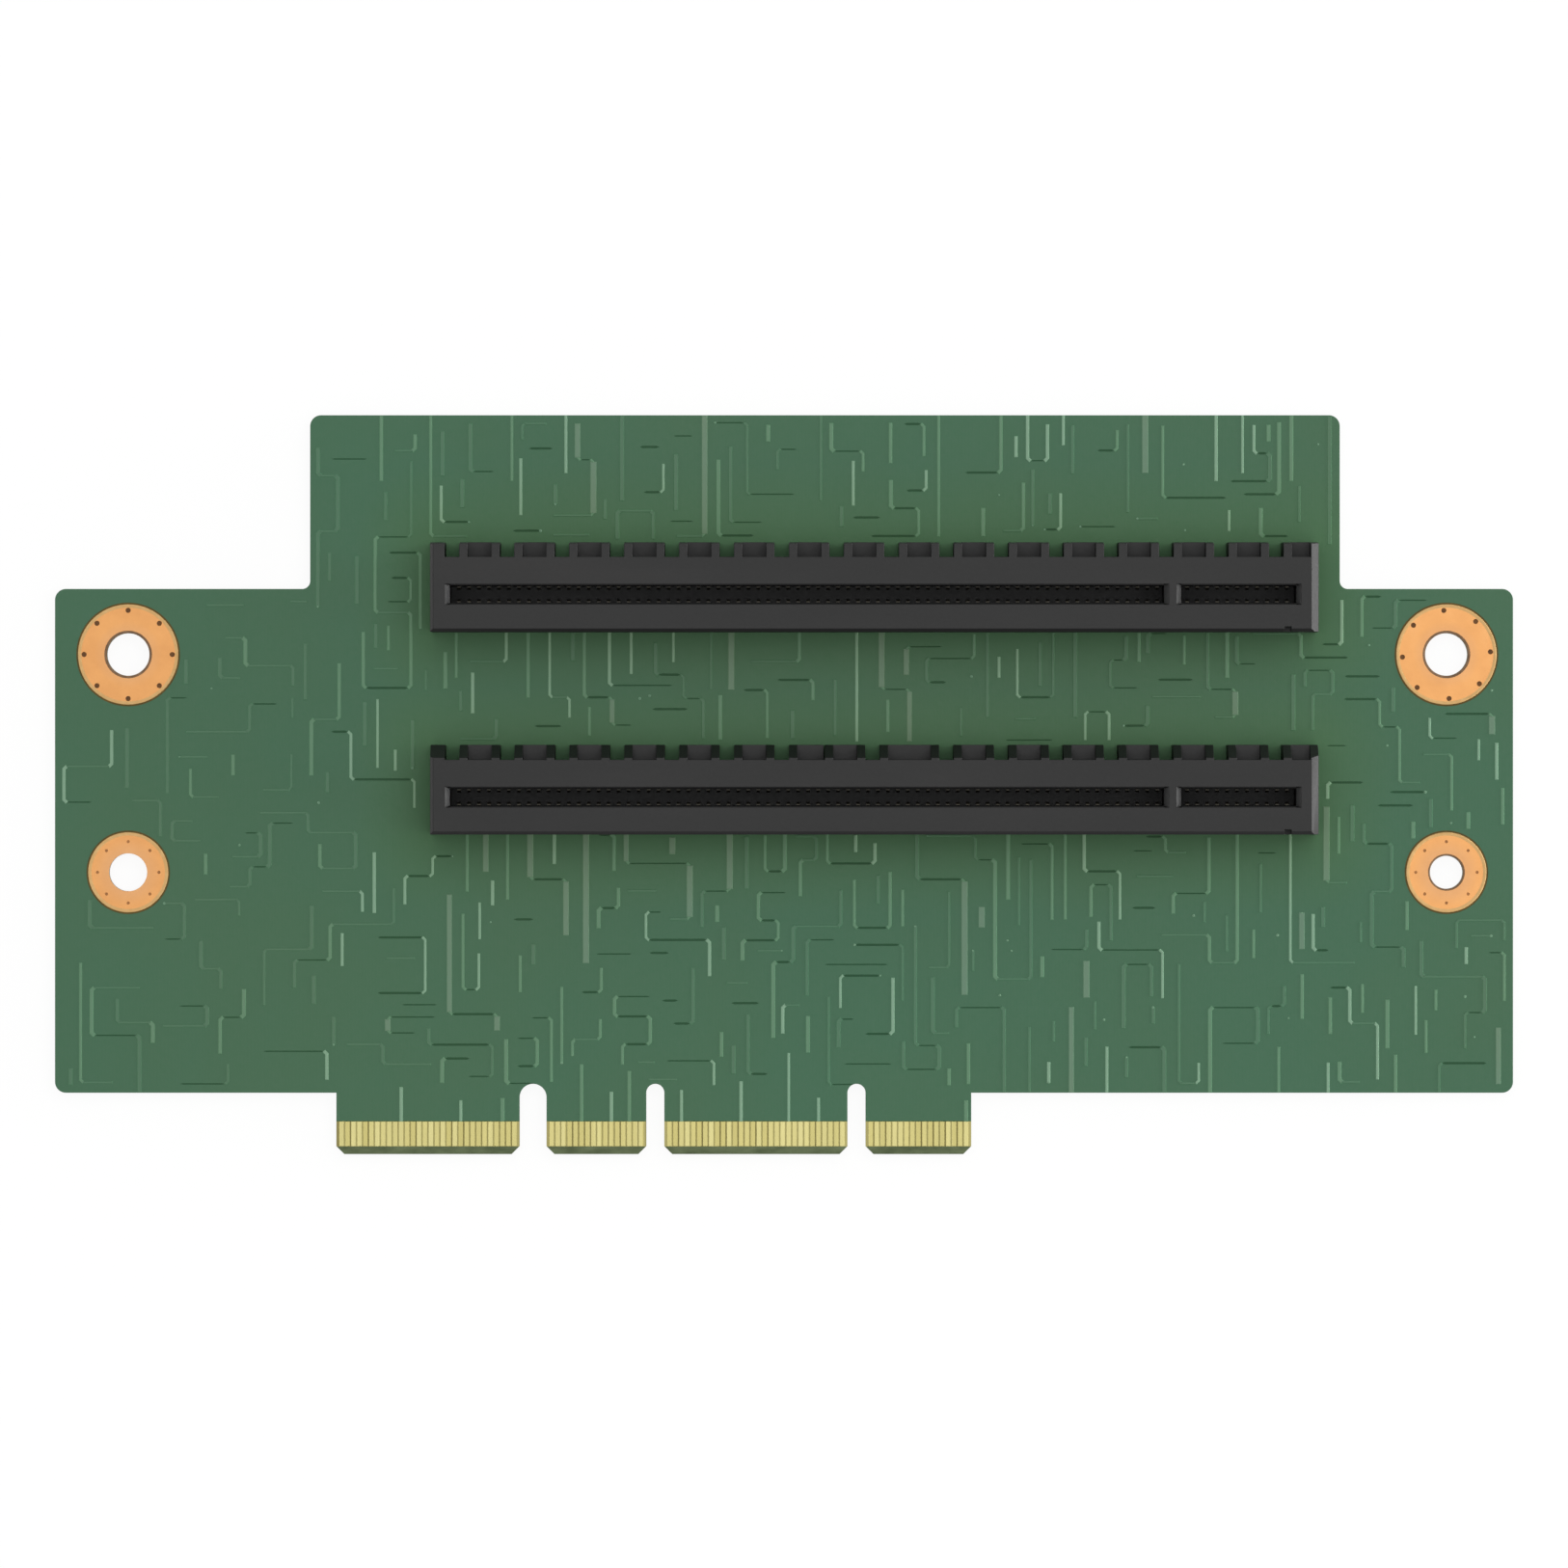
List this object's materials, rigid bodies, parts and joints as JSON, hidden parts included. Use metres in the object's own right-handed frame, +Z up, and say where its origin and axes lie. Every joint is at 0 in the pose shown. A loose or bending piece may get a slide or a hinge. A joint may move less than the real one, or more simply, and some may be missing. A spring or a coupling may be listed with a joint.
{
  "type": "pcie riser card",
  "caption": "Stepped green riser board with parallel upright card slots, copper-ringed mounting holes and a notched, bevelled edge tongue with gold fingers.",
  "frame": {"origin": "under the middle of the card, on the surface that the slots' locating pegs stand on", "axes": "+X along the card slots towards their short opening, +Y away from the edge tongue, +Z up, the way a card is drawn out of a slot"},
  "size_m": [0.1468, 0.0744, 0.0138],
  "materials": {
    "board_laminate": "satin green solder mask over glass laminate",
    "ring_copper": "bare copper, satin",
    "finger_gold": "gold plating",
    "slot_plastic": "moulded black plastic",
    "contact_metal": "plated spring metal"
  },
  "bodies": {
    "root": {"riser_board": "board_laminate", "upper_mounting_rings": "ring_copper", "lower_mounting_rings": "ring_copper", "upper_slot_housing": "slot_plastic", "lower_slot_housing": "slot_plastic", "front_fingers_1": "finger_gold", "back_fingers_1": "finger_gold", "front_fingers_2": "finger_gold", "back_fingers_2": "finger_gold", "front_fingers_3": "finger_gold", "back_fingers_3": "finger_gold", "front_fingers_4": "finger_gold", "back_fingers_4": "finger_gold", "upper_slot_long_contacts_a": "contact_metal", "upper_slot_long_contacts_b": "contact_metal", "upper_slot_short_contacts_a": "contact_metal", "upper_slot_short_contacts_b": "contact_metal", "lower_slot_long_contacts_a": "contact_metal", "lower_slot_long_contacts_b": "contact_metal", "lower_slot_short_contacts_a": "contact_metal", "lower_slot_short_contacts_b": "contact_metal"}
  },
  "joints": []
}
